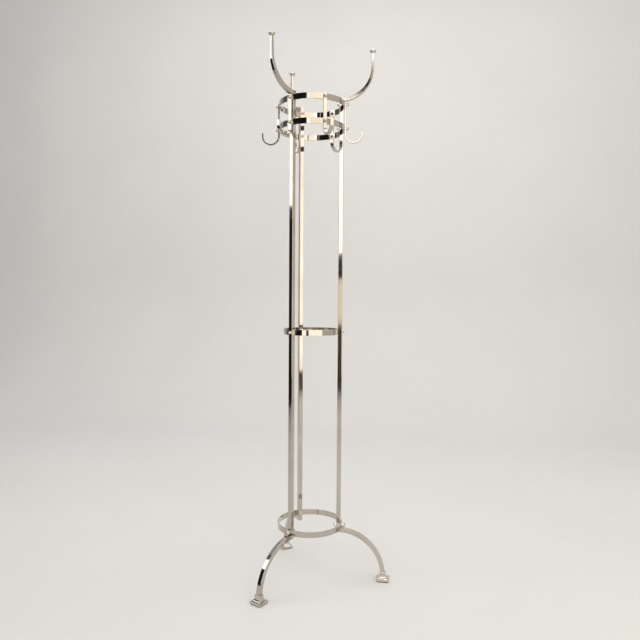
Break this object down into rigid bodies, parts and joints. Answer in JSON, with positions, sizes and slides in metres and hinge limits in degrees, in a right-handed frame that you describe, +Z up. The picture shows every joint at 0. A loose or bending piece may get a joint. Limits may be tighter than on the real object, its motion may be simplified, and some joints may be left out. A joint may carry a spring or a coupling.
{
  "type": "standing coat rack",
  "caption": "Free-standing coat rack of square nickel-plated bar: slim posts in flat rings, curved legs on square feet, J hooks round the head and curved hat arms with button finials.",
  "frame": {"origin": "on the floor, on the rack's axis of threefold symmetry (mount floor_centre)", "axes": "+Z up along the axis of symmetry; +X from the axis to the right-hand post, +Y towards the back"},
  "size_m": [0.4615, 0.5128, 1.85],
  "materials": {
    "bars": "polished warm nickel plate on square tube and bar",
    "bands": "polished warm nickel plate on flat band",
    "hooks": "polished warm nickel plate on bent strip",
    "cast_ends": "polished warm nickel plate on cast foot caps and finials",
    "fasteners": "bright nickel plate on domed bolts, nuts and washers",
    "hidden_steel": "plain steel plugs and countersunk screws inside the joints",
    "pads": "matt black rubber"
  },
  "bodies": {
    "root": {"post_right": "bars", "leg_right": "bars", "foot_cap_right": "cast_ends", "foot_pad_right": "pads", "hat_arm_right": "bars", "finial_right": "cast_ends", "post_hook_right": "hooks", "leg_plug_right": "hidden_steel", "arm_plug_right": "hidden_steel", "post_rear": "bars", "leg_rear": "bars", "foot_cap_rear": "cast_ends", "foot_pad_rear": "pads", "hat_arm_rear": "bars", "finial_rear": "cast_ends", "post_hook_rear": "hooks", "leg_plug_rear": "hidden_steel", "arm_plug_rear": "hidden_steel", "post_left": "bars", "leg_left": "bars", "foot_cap_left": "cast_ends", "foot_pad_left": "pads", "hat_arm_left": "bars", "finial_left": "cast_ends", "post_hook_left": "hooks", "leg_plug_left": "hidden_steel", "arm_plug_left": "hidden_steel", "ring_hook_front": "hooks", "ring_hook_rear_right": "hooks", "ring_hook_rear_left": "hooks", "upper_head_ring": "bands", "lower_head_ring": "bands", "middle_ring": "bands", "base_ring": "bands", "leg_screws": "hidden_steel", "arm_screws": "hidden_steel", "post_hook_bolts": "fasteners", "post_hook_nuts": "fasteners", "ring_hook_bolts": "fasteners", "ring_hook_nuts": "fasteners", "middle_ring_bolts": "fasteners", "middle_ring_nuts": "fasteners", "base_ring_bolts": "fasteners", "base_ring_nuts": "fasteners", "base_ring_washers": "fasteners"}
  },
  "joints": []
}
